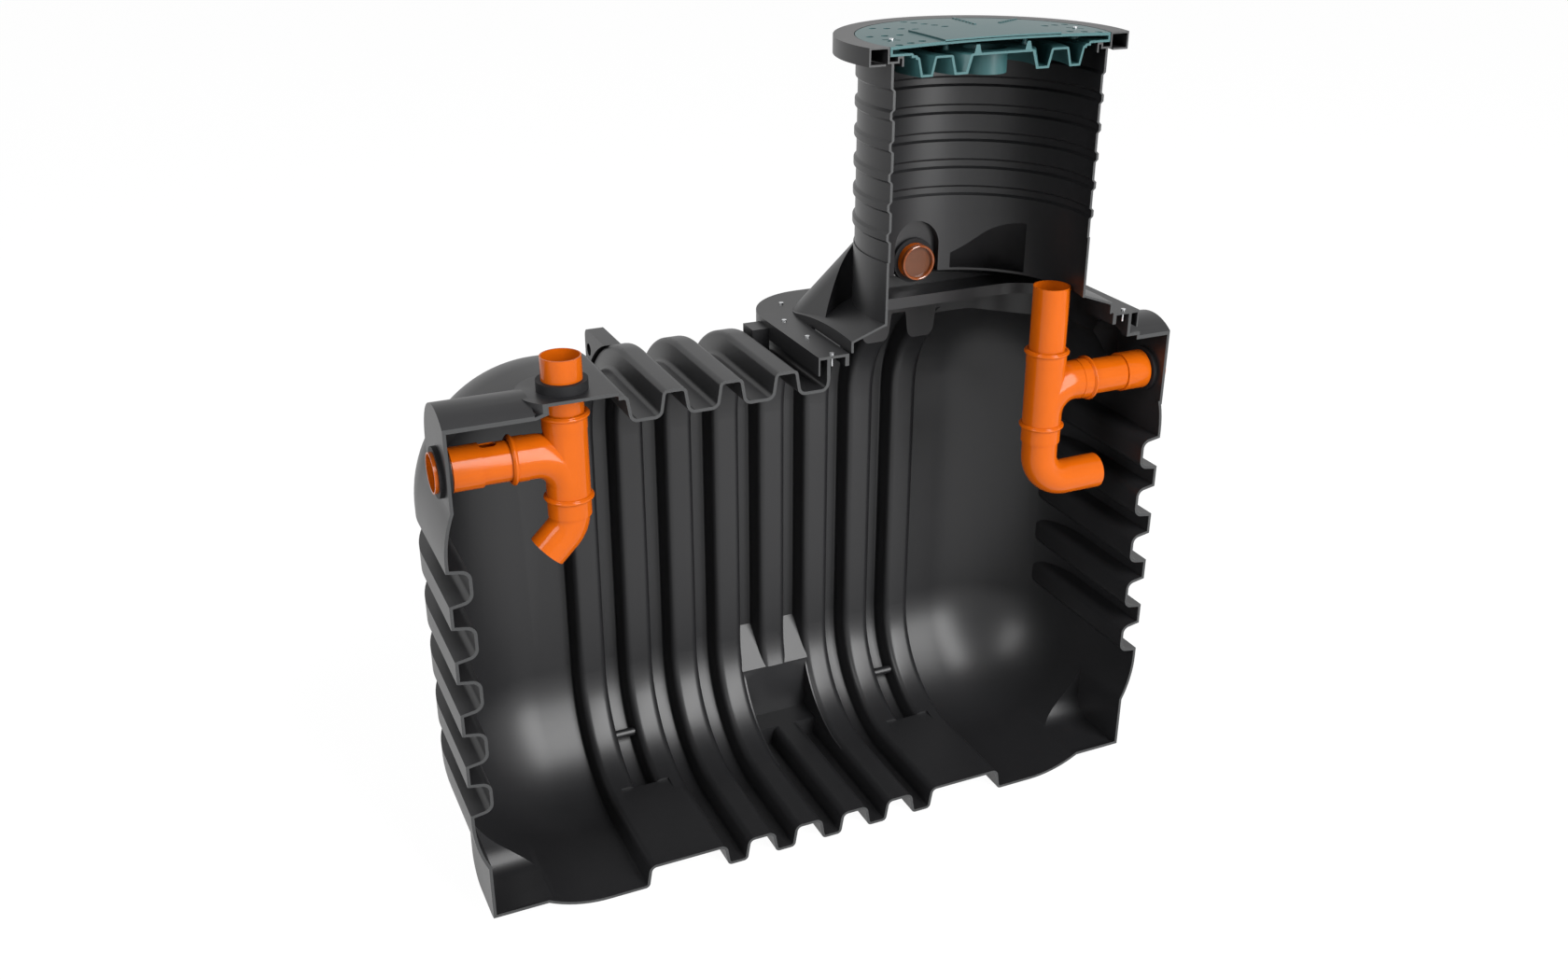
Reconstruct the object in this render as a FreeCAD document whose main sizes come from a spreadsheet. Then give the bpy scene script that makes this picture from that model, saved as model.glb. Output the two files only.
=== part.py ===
import FreeCAD, Part
import math
import os

from FreeCAD import Placement, Rotation, Vector

# Septic tank of moulded black polyethylene, cut open along its length to show the inside.
# +X runs from the inlet to the outlet, +Y away from the cut face, +Z up. The origin is under the
# middle of the tank's length, on the upright plane that holds the axes of the pipes and the shaft,
# at the undersides of the floor ribs.

doc = FreeCAD.newDocument("septic_tank")
sheet = doc.addObject("Spreadsheet::Sheet", "sizes")

DRIVING_SIZES = {
    "cut_offset": 95,
    "tank_length": 2256,
    "tank_half_width": 628,
    "tank_height": 1596,
    "corner_radius": 388,
    "wall": 9,
    "hoop_count": 8,
    "hoop_pitch": 161.7,
    "hoop_mouth": 96,
    "hoop_bottom": 74,
    "hoop_depth": 68,
    "hoop_round": 16,
    "end_bay_start": 640,
    "pocket_channel": 4,
    "pocket_front": 530,
    "pocket_rib_end": 440,
    "pocket_ledge_z": 268,
    "pocket_ledge_top": 400,
    "floor_rib_end": 305,
    "end_channel_count": 5,
    "end_channel_pitch": 166.5,
    "end_channel_low": 468,
    "end_channel_mouth": 97,
    "end_channel_bottom": 76,
    "end_channel_depth": 58,
    "end_channel_round": 22,
    "foot_rise": 41,
    "foot_half_width": 143,
    "foot_inset": 36,
    "foot_top": 240,
    "foot_round": 80,
    "boss_radius": 153,
    "boss_above_pipe": 29,
    "inlet_boss_inset": 27,
    "outlet_boss_inset": 8,
    "boss_run": 237,
    "pad_radius": 124,
    "pad_top": 1608,
    "pipe_radius": 55,
    "pipe_wall": 4,
    "sleeve_wall": 5,
    "bead_stand": 5,
    "bead_length": 15,
    "bead_round": 4,
    "socket_length": 45,
    "socket_step": 1.5,
    "mouth_gap": 2,
    "sweep_radius": 92,
    "inlet_bend_radius": 90,
    "outlet_bend_radius": 95,
    "inlet_axis_z": 1430,
    "outlet_axis_z": 1388,
    "inlet_riser_in": 366,
    "outlet_riser_in": 386,
    "riser_top": 1699,
    "socket_up": 108,
    "socket_down": 129,
    "branch_reach": 150,
    "inlet_mouth_out": 22,
    "sleeve_length": 80,
    "vent_slot_length": 50,
    "vent_slot_width": 30,
    "inlet_bend_drop": 154,
    "inlet_bend_throw": 71,
    "outlet_bend_axis_z": 1066,
    "outlet_bend_throw": 215,
    "seal_stand": 14,
    "seal_length": 34,
    "riser_seal_stand": 27,
    "shaft_in": 663.3,
    "shaft_radius": 340,
    "shaft_wall": 7,
    "shaft_foot_stand": 3,
    "band_stand": 7.3,
    "band_rib_count": 5,
    "band_margin": 0.865,
    "band_rib_tall": 17,
    "band_slope_tall": 7,
    "shaft_foot_low": 1690,
    "shaft_band_low": 1862,
    "collar_drop": 105,
    "collar_stand": 7,
    "collar_top_drop": 42,
    "flange_half_length": 531,
    "flange_half_width": 500,
    "flange_round": 205,
    "flange_top": 1620,
    "flange_plate": 8,
    "flange_skirt": 5,
    "flange_tall": 53,
    "mouth_half_length": 438,
    "mouth_half_width": 300,
    "mouth_round": 150,
    "lip_wall": 12,
    "lip_drop": 27,
    "upstand_gap": 21,
    "upstand_wall": 10,
    "seat_reach": 542,
    "seat_half_width": 511,
    "seat_top": 1549,
    "hopper_half_length": 432,
    "hopper_half_width": 411,
    "hopper_top_half_length": 312,
    "hopper_top_half_width": 245,
    "hopper_round": 150,
    "hopper_top": 1856,
    "scoop_radius": 165,
    "scoop_offset": 291,
    "vent_recess_half": 105,
    "dome_reach": 530,
    "vent_axis_z": 1719,
    "vent_boss_half": 76,
    "vent_boss_face": 355,
    "vent_boss_arch_z": 1767,
    "vent_front": 321,
    "vent_back": 400,
    "vent_cap_wall": 3,
    "lid_top": 2430,
    "lid_overhang": 11,
    "lid_gap": 2,
    "lid_crown": 8,
    "lid_plate": 8,
    "lid_rim_drop": 24.7,
    "lid_rim_width": 59,
    "lid_step_width": 12,
    "lid_step_drop": 31,
    "lid_pan_wall": 6,
    "lid_pan_drop": 36,
    "lid_trough_drop": 82,
    "outer_trough_in": 103,
    "inner_trough_in": 193,
    "trough_mouth": 52,
    "trough_bottom": 32,
    "pan_boss_radius": 62,
    "pan_boss_drop": 95,
    "pan_post_circle": 123,
    "pan_post_foot": 12,
    "pan_post_top": 5,
    "screw_post_radius": 20,
    "ring_span": 57,
    "ring_wall": 5,
    "ring_tall": 47.5,
    "ring_stand": 0.5,
    "seat_lip_in": 23,
    "seat_lip_width": 17,
    "seat_lip_tall": 26,
    "seat_web_drop": 7,
    "fit_gap": 0.3,
    "screw_radius": 7,
    "screw_head": 4,
    "screw_shank": 3,
    "screw_length": 34,
    "flange_screw_inset": 47,
    "flange_screw_pitch": 159,
    "lid_screw_in": 65,
    "lug_wall": 51,
    "lug_far": 565,
    "lug_top": 1571,
    "lug_round": 28,
    "eye_radius": 19,
    "eye_y": 530,
    "eye_z": 1511,
    "stop_length": 52,
    "stop_far": 312,
    "stop_top": 1604,
    "anchor_radius": 14,
    "anchor_y": 500,
    "anchor_z": 158,
}
for row, (alias, value) in enumerate(DRIVING_SIZES.items(), start=1):
    sheet.set(f"A{row}", alias)
    sheet.set(f"B{row}", str(value))
    sheet.setAlias(f"B{row}", alias)
doc.recompute()

FAR = 4000.0
HOLE_RUN = 400.0
ALONG_X = Vector(1, 0, 0)
ALONG_Y = Vector(0, 1, 0)
ALONG_Z = Vector(0, 0, 1)


def size(alias):
    return float(getattr(sheet, alias))


# Places that keep their distance from the ends when the tank's length changes.
shaft_x = size("tank_length") / 2 - size("shaft_in")
inlet_riser_x = size("inlet_riser_in") - size("tank_length") / 2
outlet_riser_x = size("tank_length") / 2 - size("outlet_riser_in")


def add(label, shape):
    """One moulded piece, whose shape is worked out from the sheet."""
    piece = doc.addObject("Part::Feature", label)
    piece.Label = label
    piece.Shape = shape
    piece.Placement = Placement(Vector(0, 0, 0), Rotation())
    return piece


def box(x0, x1, y0, y1, z0, z1):
    return Part.makeBox(x1 - x0, y1 - y0, z1 - z0, Vector(x0, y0, z0))


def rounded_block(half_length, half_width, z0, z1, radius):
    block = box(-half_length, half_length, -half_width, half_width, z0, z1)
    return block.makeFillet(radius, block.Edges)


def rounded_slab(half_length, half_width, radius, z0, z1):
    """A slab about the shaft's axis with upright rounded corners."""
    slab = box(shaft_x - half_length, shaft_x + half_length, -half_width, half_width, z0, z1)
    upright = [edge for edge in slab.Edges if abs(edge.Vertexes[0].Z - edge.Vertexes[-1].Z) > 0.5]
    return slab.makeFillet(radius, upright)


def rounded_line(points, radius):
    """An open wire through the points, with an arc at each corner between the ends."""
    edges = []
    here = points[0]
    for number in range(1, len(points) - 1):
        corner = points[number]
        back = (points[number - 1] - corner).normalize()
        ahead = (points[number + 1] - corner).normalize()
        turn = math.pi - back.getAngle(ahead)
        setback = radius * math.tan(turn / 2)
        bisector = (back + ahead).normalize()
        start = corner + back * setback
        stop = corner + ahead * setback
        middle = corner + bisector * (radius / math.cos(turn / 2) - radius)
        if start.distanceToPoint(here) > 0.01:
            edges.append(Part.makeLine(here, start))
        edges.append(Part.Arc(start, middle, stop).toShape())
        here = stop
    edges.append(Part.makeLine(here, points[-1]))
    return Part.Wire(edges)


def beyond_cut(shape):
    """What the lengthwise cut leaves, on the +Y side."""
    return shape.common(box(-FAR, FAR, -size("cut_offset"), FAR, -FAR, FAR))


def ring(radius_out, radius_in, z0, z1, x=0.0, y=0.0):
    outer = Part.makeCylinder(radius_out, z1 - z0, Vector(x, y, z0))
    return outer.cut(Part.makeCylinder(radius_in, z1 - z0, Vector(x, y, z0)))


def side_prism(points, x0, x1):
    """A closed (y, z) outline carried from x0 to x1."""
    outline = [Vector(x0, y, z) for y, z in points]
    return Part.Face(Part.makePolygon(outline + outline[:1])).extrude(Vector(x1 - x0, 0, 0))


def revolved(points, x):
    """A closed (radius, z) outline turned about the upright axis at x."""
    outline = [Vector(x + radius, 0, z) for radius, z in points]
    face = Part.Face(Part.makePolygon(outline + outline[:1]))
    return face.revolve(Vector(x, 0, 0), ALONG_Z, 360)


# Hull. Its middle carries hoops: channels pressed in from outside that run round the roof, the
# back wall and the floor. Its two ends are domed and carry level channels instead.

half_length = size("tank_length") / 2
half_width = size("tank_half_width")
height = size("tank_height")
corner = size("corner_radius")
wall = size("wall")
split = size("end_bay_start")
hoop_half_run = (size("hoop_count") - 1) / 2 * size("hoop_pitch")


def hoop_line():
    """The hull's outer surface in section along its length, in the plane of the roof."""
    points = [Vector(-split, 0, height)]
    for number in range(int(size("hoop_count"))):
        middle = number * size("hoop_pitch") - hoop_half_run
        points.append(Vector(middle - size("hoop_mouth") / 2, 0, height))
        points.append(Vector(middle - size("hoop_bottom") / 2, 0, height - size("hoop_depth")))
        points.append(Vector(middle + size("hoop_bottom") / 2, 0, height - size("hoop_depth")))
        points.append(Vector(middle + size("hoop_mouth") / 2, 0, height))
    points.append(Vector(split, 0, height))
    return rounded_line(points, size("hoop_round"))


def over_roof(section):
    """A section carried along the flat of the roof and round the shoulder."""
    flat = section.copy()
    flat.translate(Vector(0, -size("cut_offset"), 0))
    flat = flat.extrude(Vector(0, flat_depth + size("cut_offset"), 0))
    round_part = section.copy()
    round_part.translate(Vector(0, flat_depth, 0))
    return flat.fuse(round_part.revolve(roof_centre, ALONG_X, -90))


flat_depth = half_width - corner
roof_centre = Vector(0, flat_depth, height - corner)
floor_centre = Vector(0, flat_depth, corner)
strip = hoop_line().makeOffset2D(-wall, 0, True, True)
tank_roof = over_roof(strip)

wall_strip = strip.copy()
wall_strip.translate(Vector(0, flat_depth, 0))
wall_strip.rotate(roof_centre, ALONG_X, -90)
hooped_wall = wall_strip.extrude(Vector(0, 0, 2 * corner - height))
haunch_strip = wall_strip.copy()
haunch_strip.translate(Vector(0, 0, 2 * corner - height))
haunch = haunch_strip.revolve(floor_centre, ALONG_X, -90)
floor_strip = haunch_strip.copy()
floor_strip.rotate(floor_centre, ALONG_X, -90)
floor_flat = floor_strip.extrude(Vector(0, -flat_depth - size("cut_offset"), 0))
tank_floor = floor_flat.fuse(haunch)

# The outermost floor rib at each end stops short, and the floor between its hoops is level.
hull_block = rounded_block(half_length, half_width, 0, height, corner)
rib_end = size("floor_rib_end")
level = size("hoop_depth")
for sign in (-1, 1):
    inner = sign * (hoop_half_run - size("hoop_pitch"))
    outer = sign * hoop_half_run
    x0, x1 = min(inner, outer), max(inner, outer)
    rib_half = (size("hoop_pitch") - size("hoop_bottom")) / 2
    rib_x = (inner + outer) / 2
    tank_floor = tank_floor.cut(box(x0, x1, -FAR, rib_end, -wall, level + 2 * wall))
    plate = box(x0, x1, -size("cut_offset"), rib_end, level, level + wall)
    stop = box(rib_x - rib_half, rib_x + rib_half, rib_end - wall, rib_end, 0, level + wall)
    stop = stop.common(hull_block)
    tank_floor = tank_floor.fuse(plate).fuse(stop)

# Pocket at the haunch. Between two channels the floor runs on level to an upright front wall, over
# which a ledge slopes back to the hull. The level floor is the widest stand under the tank.
channel_x = [number * size("hoop_pitch") - hoop_half_run for number in range(int(size("hoop_count")))]
middle = int(size("pocket_channel"))
pocket_x0 = channel_x[middle - 1] + size("hoop_mouth") / 2
pocket_x1 = channel_x[middle + 1] - size("hoop_mouth") / 2
front = size("pocket_front")
rib_stop = size("pocket_rib_end")
ledge_z = size("pocket_ledge_z")
slope = (size("pocket_ledge_top") - ledge_z) / (half_width - wall - front)
drop = wall * math.hypot(1, slope)
beyond_y = half_width + wall
beyond_z = ledge_z + slope * (beyond_y - front)
outside = side_prism([(front, -FAR), (front, ledge_z), (beyond_y, beyond_z), (FAR, beyond_z), (FAR, -FAR)],
                     pocket_x0 - wall, pocket_x1 + wall)
hooped_wall = hooped_wall.cut(outside)
tank_floor = tank_floor.cut(outside).cut(box(pocket_x0, pocket_x1, flat_depth, front, -FAR, ledge_z))
ledge = side_prism([
    (front, level), (front, ledge_z),
    (half_width, ledge_z + slope * (half_width - front)),
    (half_width, ledge_z + slope * (half_width - front) - drop),
    (front + wall, ledge_z + slope * wall - drop),
    (front + wall, level),
], pocket_x0 - wall, pocket_x1 + wall)
floor_run = floor_strip.extrude(Vector(0, rib_stop - flat_depth, 0))
pocket = [ledge, floor_run.common(box(pocket_x0, pocket_x1, 0, FAR, -wall, FAR)),
          box(pocket_x0 - wall, pocket_x1 + wall, rib_stop, front + wall, level, level + wall)]
for side in (-1, 1):
    rib_x = channel_x[middle] + side * size("hoop_pitch") / 2
    x0 = max(rib_x - rib_half, pocket_x0 - wall)
    x1 = min(rib_x + rib_half, pocket_x1 + wall)
    pocket.append(box(x0, x1, rib_stop, rib_stop + wall, 0, level + wall))
curve = Part.makeCylinder(corner - level, FAR, Vector(-FAR / 2, flat_depth, corner), ALONG_X)
cheek_line = [(flat_depth, 0), (rib_stop + wall, 0), (rib_stop + wall, level), (front + wall, level),
              (front + wall, ledge_z), (flat_depth, ledge_z)]
for x0 in (pocket_x0 - wall, pocket_x1):
    pocket.append(side_prism(cheek_line, x0, x0 + wall).cut(curve))
tank_floor = tank_floor.fuse(pocket)


# Domed ends.

def inlet_boss_z():
    return size("inlet_axis_z") + size("boss_above_pipe")


def outlet_boss_z():
    return size("outlet_axis_z") + size("boss_above_pipe")


def end_channels(inset):
    """Level channels pressed into both ends, as the solids that are cut away."""
    mouth = size("end_channel_mouth") / 2 + inset
    bottom = size("end_channel_bottom") / 2 + inset
    depth = size("end_channel_depth") + inset
    radius = size("end_channel_round") + inset
    flare = (mouth - bottom) / depth * 60
    cutters = []
    for number in range(int(size("end_channel_count"))):
        z = size("end_channel_low") + number * size("end_channel_pitch")
        for sign in (-1, 1):
            tip = sign * (half_length - depth)
            out = sign * (half_length + 60)
            points = [Vector(out, -FAR / 2, z - mouth - flare), Vector(tip, -FAR / 2, z - bottom),
                      Vector(tip, -FAR / 2, z + bottom), Vector(out, -FAR / 2, z + mouth + flare)]
            line = rounded_line(points, radius)
            face = Part.Face(Part.Wire(line.Edges + [Part.makeLine(points[-1], points[0])]))
            cutters.append(face.extrude(Vector(0, FAR, 0)))
    return cutters


def end_form(inset):
    """Both ends' outside at inset 0, and their inside at inset = wall."""
    body = rounded_block(half_length - inset, half_width - inset, inset, height - inset, corner - inset)
    body = body.cut(end_channels(inset))
    boss_radius = size("boss_radius") - inset
    boss_run = size("boss_run")
    for sign, z, boss_inset in (
        (-1, inlet_boss_z(), "inlet_boss_inset"),
        (1, outlet_boss_z(), "outlet_boss_inset"),
    ):
        face_x = sign * (half_length - size(boss_inset) - inset)
        body = body.fuse(Part.makeCylinder(boss_radius, boss_run, Vector(face_x, 0, z), ALONG_X * -sign))
        foot_x = half_length - size("foot_inset") - inset
        foot_half = size("foot_half_width") - inset
        x0, x1 = min(sign * foot_x, sign * split), max(sign * foot_x, sign * split)
        rise = size("foot_rise") + inset
        foot = box(x0, x1, -foot_half, foot_half, rise, size("foot_top") - inset)
        low_edges = [edge for edge in foot.Edges
                     if edge.BoundBox.ZMax < rise + 1 and edge.BoundBox.XLength > edge.BoundBox.YLength]
        body = body.fuse(foot.makeFillet(size("foot_round") - inset, low_edges))
    pad_half = size("pad_radius") - inset
    pad_top = size("pad_top") - inset
    pad_low = height - corner / 2
    pad = Part.makeCylinder(pad_half, pad_top - pad_low, Vector(inlet_riser_x, 0, pad_low))
    pad_end = -hoop_half_run - size("hoop_mouth") / 2 - inset
    pad = pad.fuse(box(inlet_riser_x, pad_end, -pad_half, pad_half, pad_low, pad_top))
    seat_top = size("seat_top") - inset
    seat = rounded_slab(size("seat_reach") - inset, size("seat_half_width") - inset,
                        size("flange_round") - inset, seat_top - corner / 2, seat_top)
    seat = seat.common(box(split - wall, FAR, -FAR, FAR, 0, FAR))
    return body.fuse(pad).fuse(seat)


upstand_out = size("flange_half_length") - size("flange_skirt") - size("upstand_gap")
upstand_deep = size("flange_half_width") - size("flange_skirt") - size("upstand_gap")
upstand_round = size("flange_round") - size("flange_skirt") - size("upstand_gap")
plate_low = size("flange_top") - size("flange_plate")
upstand_wall = size("upstand_wall")
neck_low = height - corner
neck_hole = rounded_slab(upstand_out - upstand_wall, upstand_deep - upstand_wall,
                         upstand_round - upstand_wall, neck_low, plate_low)
seal_radius = size("pipe_radius") + size("seal_stand")

ends = end_form(0).cut(end_form(wall))
ends = beyond_cut(ends).cut(neck_hole)
for place, direction in (
    (Vector(-half_length - HOLE_RUN / 2, 0, size("inlet_axis_z")), ALONG_X),
    (Vector(half_length - HOLE_RUN / 2, 0, size("outlet_axis_z")), ALONG_X),
    (Vector(inlet_riser_x, 0, height - HOLE_RUN / 4), ALONG_Z),
):
    ends = ends.cut(Part.makeCylinder(seal_radius, HOLE_RUN, place, direction))
inlet_end = ends.common(box(-FAR, -split, -FAR, FAR, -FAR, FAR))
outlet_end = ends.common(box(split, FAR, -FAR, FAR, -FAR, FAR))
add("inlet_end", inlet_end)
add("outlet_end", outlet_end)
add("hooped_wall", hooped_wall)
add("tank_floor", tank_floor)
tank_roof = tank_roof.cut(neck_hole)
add("tank_roof", tank_roof)

# Upstand round the tank's mouth, on which the turret's flange rests. Its foot follows the hoops.
core_low = height - corner / 2
core_corners = [Vector(split, 0, height), Vector(split, 0, core_low), Vector(-split, 0, core_low),
                Vector(-split, 0, height)]
roof_core = over_roof(Part.Face(Part.Wire(hoop_line().Edges + Part.makePolygon(core_corners).Edges)))
upstand = rounded_slab(upstand_out, upstand_deep, upstand_round, core_low, plate_low).cut(neck_hole)
over_hoops = upstand.common(box(-FAR, split, -FAR, FAR, 0, FAR)).cut(roof_core)
over_end = upstand.common(box(split, FAR, -FAR, FAR, 0, FAR)).cut(end_form(0))
add("neck_upstand", beyond_cut(over_hoops.fuse(over_end)))

# Lifting lug: a level plate with an eye that stands out of the shoulder on the first outward rib. The
# other end of the lift is a block beside the flange.
lug_x = channel_x[0] + size("hoop_mouth") / 2 - wall
lug_far = size("lug_far")
lug_top = size("lug_top")
lug = box(lug_x, lug_x + size("lug_wall"), flat_depth, lug_far, height - corner, lug_top)
brow = [edge for edge in lug.Edges if edge.BoundBox.ZMin > lug_top - 1 and edge.BoundBox.YMin > lug_far - 1]
lug = lug.makeFillet(size("lug_round"), brow)
eye_start = Vector(-FAR / 2, size("eye_y"), size("eye_z"))
lug = lug.cut(Part.makeCylinder(size("eye_radius"), FAR, eye_start, ALONG_X))
stop_x = shaft_x - size("flange_half_length") - size("fit_gap")
stop = box(stop_x - size("stop_length"), stop_x, flat_depth, size("stop_far"), core_low, size("stop_top"))
add("lifting_lugs", Part.makeCompound([lug.cut(hull_block), stop.cut(roof_core)]))

# Anchor tubes tie the two walls of the outermost ribs at the haunch.
anchors = []
for sign in (-1, 1):
    rib_x = sign * (hoop_half_run - size("hoop_pitch") / 2)
    reach = (size("hoop_pitch") - size("hoop_bottom")) / 2
    tube = Part.makeCylinder(size("anchor_radius"), 2 * reach,
                             Vector(rib_x - reach, size("anchor_y"), size("anchor_z")), ALONG_X)
    anchors.append(tube.cut(tank_floor))
add("anchor_tubes", Part.makeCompound([max(tube.Solids, key=lambda solid: solid.Volume) for tube in anchors]))

# Turret: flange, hopper, smooth foot and banded shaft.

flange_top = size("flange_top")
skirt = size("flange_skirt")
flange = rounded_slab(size("flange_half_length"), size("flange_half_width"), size("flange_round"),
                      flange_top - size("flange_tall"), flange_top)
flange = flange.cut(rounded_slab(size("flange_half_length") - skirt, size("flange_half_width") - skirt,
                                 size("flange_round") - skirt, flange_top - size("flange_tall"), plate_low))
lip_wall = size("lip_wall")
lip = rounded_slab(size("mouth_half_length") + lip_wall, size("mouth_half_width") + lip_wall,
                   size("mouth_round") + lip_wall, plate_low - size("lip_drop"), plate_low)
mouth = rounded_slab(size("mouth_half_length"), size("mouth_half_width"), size("mouth_round"),
                     plate_low - size("lip_drop"), flange_top)
flange = beyond_cut(flange.fuse(lip).cut(mouth))

shaft_radius = size("shaft_radius")
shaft_wall = size("shaft_wall")
foot_radius = shaft_radius + size("shaft_foot_stand")


def slab_outline(half_length, half_width, radius, z):
    """The upper edge of a rounded slab, for a loft."""
    slab = rounded_slab(half_length, half_width, radius, z - 1, z)
    return max(slab.Faces, key=lambda face: face.CenterOfMass.z).OuterWire


def hopper_form(inset):
    """The four-cornered hopper with its scoops, over the low dome that floors them."""
    low = flange_top - inset
    spread = Part.makeLoft([
        slab_outline(size("hopper_half_length") - inset, size("hopper_half_width") - inset,
                     size("hopper_round") - inset, low),
        slab_outline(size("hopper_top_half_length") - inset, size("hopper_top_half_width") - inset,
                     size("hopper_round") - inset, size("hopper_top") - inset),
    ], True, True)
    scoop_radius = size("scoop_radius") + inset
    recess_half = size("vent_recess_half") + inset
    for sign in (-1, 1):
        axis = Vector(shaft_x + sign * size("scoop_offset"), 0, 0)
        spread = spread.cut(Part.makeCylinder(scoop_radius, FAR, axis))
        y0, y1 = min(0, sign * FAR), max(0, sign * FAR)
        spread = spread.cut(box(shaft_x - recess_half, shaft_x + recess_half, y0, y1, 0, FAR))
    slope_top = size("shaft_foot_low") - inset
    prism = rounded_slab(size("hopper_half_length") - inset, size("hopper_half_width") - inset,
                         size("hopper_round") - inset, low, slope_top + 1)
    cone = Part.makeCone(size("dome_reach"), foot_radius, slope_top - low, Vector(shaft_x, 0, low))
    return spread.fuse(prism.common(cone))


foot_bore = Part.makeCylinder(foot_radius - shaft_wall, FAR, Vector(shaft_x, 0, 0))
foot_core = Part.makeCylinder(foot_radius, FAR, Vector(shaft_x, 0, size("shaft_foot_low") - shaft_wall))
hopper_inside = hopper_form(shaft_wall)
hopper = hopper_form(0).cut(hopper_inside).cut(foot_bore).cut(foot_core)
hopper = hopper.cut(box(-FAR, FAR, -FAR, FAR, 0, flange_top))

boss_half = size("vent_boss_half")
boss_face = size("vent_boss_face")
arch_z = size("vent_boss_arch_z")


def vent_boss(inset):
    """The flat, arched boss that stands out of the shaft's back."""
    half = boss_half + shaft_wall - inset
    face = boss_face + shaft_wall - inset
    depth = face - foot_radius / 2
    start = Vector(shaft_x, foot_radius / 2, arch_z)
    arch = Part.makeCylinder(half, depth, start, ALONG_Y)
    return arch.fuse(box(shaft_x - half, shaft_x + half, start.y, face, foot_low, arch_z))


foot_low = size("shaft_foot_low") - shaft_wall
foot_tube = ring(foot_radius, foot_radius - shaft_wall, foot_low, size("shaft_band_low"), shaft_x)
scoops = hopper_inside.cut(box(-FAR, FAR, -FAR, FAR, 0, size("shaft_foot_low")))
shaft_foot = foot_tube.fuse(vent_boss(0).cut(foot_bore)).cut(vent_boss(shaft_wall)).cut(scoops)
vent_hole = Part.makeCylinder(seal_radius, FAR, Vector(shaft_x, 0, size("vent_axis_z")), ALONG_Y)
shaft_foot = shaft_foot.cut(vent_hole)
hopper = hopper.cut(vent_boss(0)).cut(vent_hole)
add("turret_hopper", beyond_cut(hopper))
add("shaft_foot", beyond_cut(shaft_foot))

lid_top = size("lid_top")
collar_low = lid_top - size("collar_drop")
collar_top = lid_top - size("collar_top_drop")
band_low = size("shaft_band_low")
band_count = int(size("band_rib_count"))
band_pitch = (collar_low - band_low) / (band_count - 1 + 2 * size("band_margin"))
band_line = [Vector(shaft_x + shaft_radius, 0, band_low)]
rib_half = size("band_rib_tall") / 2
for number in range(band_count):
    z = band_low + (number + size("band_margin")) * band_pitch
    out = shaft_x + shaft_radius + size("band_stand")
    slope = size("band_slope_tall")
    band_line.append(Vector(shaft_x + shaft_radius, 0, z - rib_half - slope))
    band_line.append(Vector(out, 0, z - rib_half))
    band_line.append(Vector(out, 0, z + rib_half))
    band_line.append(Vector(shaft_x + shaft_radius, 0, z + rib_half + slope))
collar_x = shaft_x + shaft_radius + size("collar_stand")
band_line.append(Vector(shaft_x + shaft_radius, 0, collar_low - size("band_slope_tall")))
band_line.append(Vector(collar_x, 0, collar_low))
band_line.append(Vector(collar_x, 0, collar_top))
inner_line = [Vector(point.x - shaft_wall, 0, point.z) for point in reversed(band_line)]
band_face = Part.Face(Part.makePolygon(band_line + inner_line + band_line[:1]))
add("banded_shaft", beyond_cut(band_face.revolve(Vector(shaft_x, 0, 0), ALONG_Z, 360)))

# Cover: a hollow ring with a seat, and a lid of two skins that is screwed down on it.

lid_radius = shaft_radius + size("lid_overhang")
ring_wall = size("ring_wall")
ring_inner = lid_radius + size("lid_gap")
ring_outer = ring_inner + size("ring_span")
ring_top = lid_top + size("ring_stand")
ring_low = ring_top - size("ring_tall")
rim = lid_top - size("lid_rim_drop")
seat_top = rim - size("fit_gap")
seat_out = ring_inner - size("seat_lip_in")
seat_in = seat_out - size("seat_lip_width")
seat_low = seat_top - size("seat_lip_tall")
web_top = seat_top - ring_wall - size("seat_web_drop")
cover_ring = revolved([
    (ring_outer, ring_low), (ring_outer, ring_top), (ring_inner, ring_top), (ring_inner, web_top),
    (seat_out, web_top), (seat_out, seat_top), (seat_in, seat_top), (seat_in, seat_low),
    (seat_in + ring_wall, seat_low), (seat_in + ring_wall, seat_top - ring_wall),
    (seat_out - ring_wall, seat_top - ring_wall), (seat_out - ring_wall, collar_top),
    (ring_inner + 2 * ring_wall, collar_top), (ring_inner + 2 * ring_wall, ring_low),
], shaft_x)
hollow = ring(ring_outer - ring_wall, ring_inner + ring_wall, ring_low + ring_wall,
              ring_top - ring_wall, shaft_x)
add("cover_ring", beyond_cut(cover_ring.cut(hollow)))

plate = size("lid_plate")
crown = size("lid_crown")
crown_z = lid_top + crown
lid_round = Part.makeCylinder(lid_radius, crown_z, Vector(shaft_x, 0, 0))
sphere_radius = (lid_radius ** 2 + crown ** 2) / (2 * crown)
lid = lid_round.common(Part.makeSphere(sphere_radius, Vector(shaft_x, 0, crown_z - sphere_radius)))
under = lid_round.common(Part.makeSphere(sphere_radius, Vector(shaft_x, 0, crown_z - plate - sphere_radius)))
lid_plate = lid.cut(under)
pan_top = lid_top - plate
pan_wall = size("lid_pan_wall")
pan_low = lid_top - size("lid_pan_drop")
trough_low = lid_top - size("lid_trough_drop")
mouth_half = size("trough_mouth") / 2
bottom_half = size("trough_bottom") / 2
rim_in = lid_radius - size("lid_rim_width")
step_z = lid_top - size("lid_step_drop")
pan_line = [(lid_radius, pan_top), (lid_radius, rim), (rim_in, rim), (rim_in, step_z),
            (rim_in - size("lid_step_width"), step_z), (rim_in - size("lid_step_width"), pan_low)]
for radius in (lid_radius - size("outer_trough_in"), lid_radius - size("inner_trough_in")):
    pan_line += [(radius + mouth_half, pan_low), (radius + bottom_half, trough_low),
                 (radius - bottom_half, trough_low), (radius - mouth_half, pan_low)]
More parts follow.
